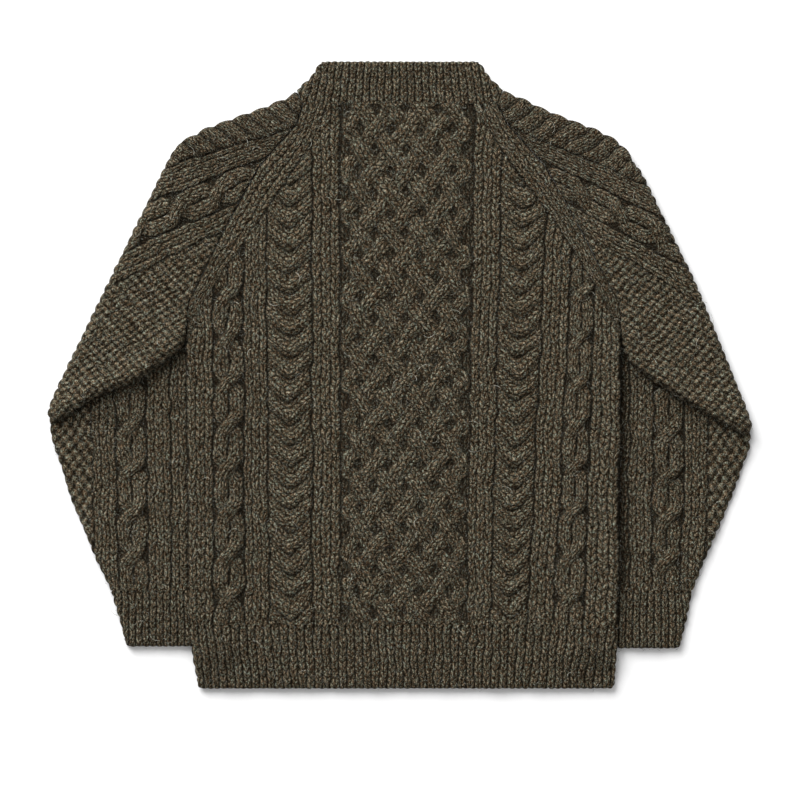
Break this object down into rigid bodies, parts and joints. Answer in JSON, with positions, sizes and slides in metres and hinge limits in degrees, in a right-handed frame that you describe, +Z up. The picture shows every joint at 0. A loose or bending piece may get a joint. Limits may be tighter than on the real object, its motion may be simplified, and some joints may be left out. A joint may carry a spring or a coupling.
{
  "type": "cable knit sweater",
  "caption": "Chunky raglan sweater in heather wool, cabled all over, with ribbed neckband, cuffs and hem, lying face down with both sleeves folded under.",
  "frame": {"origin": "middle of the laid garment's outline, on the surface it lies on", "axes": "+X across the garment towards the sleeve on the right of the back view, +Y from hem to neck, +Z up through the cloth"},
  "size_m": [0.775, 0.6898, 0.0196],
  "materials": {
    "wool_knit": "chunky heather wool, brown olive, matt with short loose fibres"
  },
  "bodies": {
    "root": {"back": "wool_knit", "front": "wool_knit", "back_hem_rib": "wool_knit", "front_hem_rib": "wool_knit", "sleeve_left": "wool_knit", "cuff_left": "wool_knit", "sleeve_right": "wool_knit", "cuff_right": "wool_knit", "neckband": "wool_knit"}
  },
  "joints": []
}
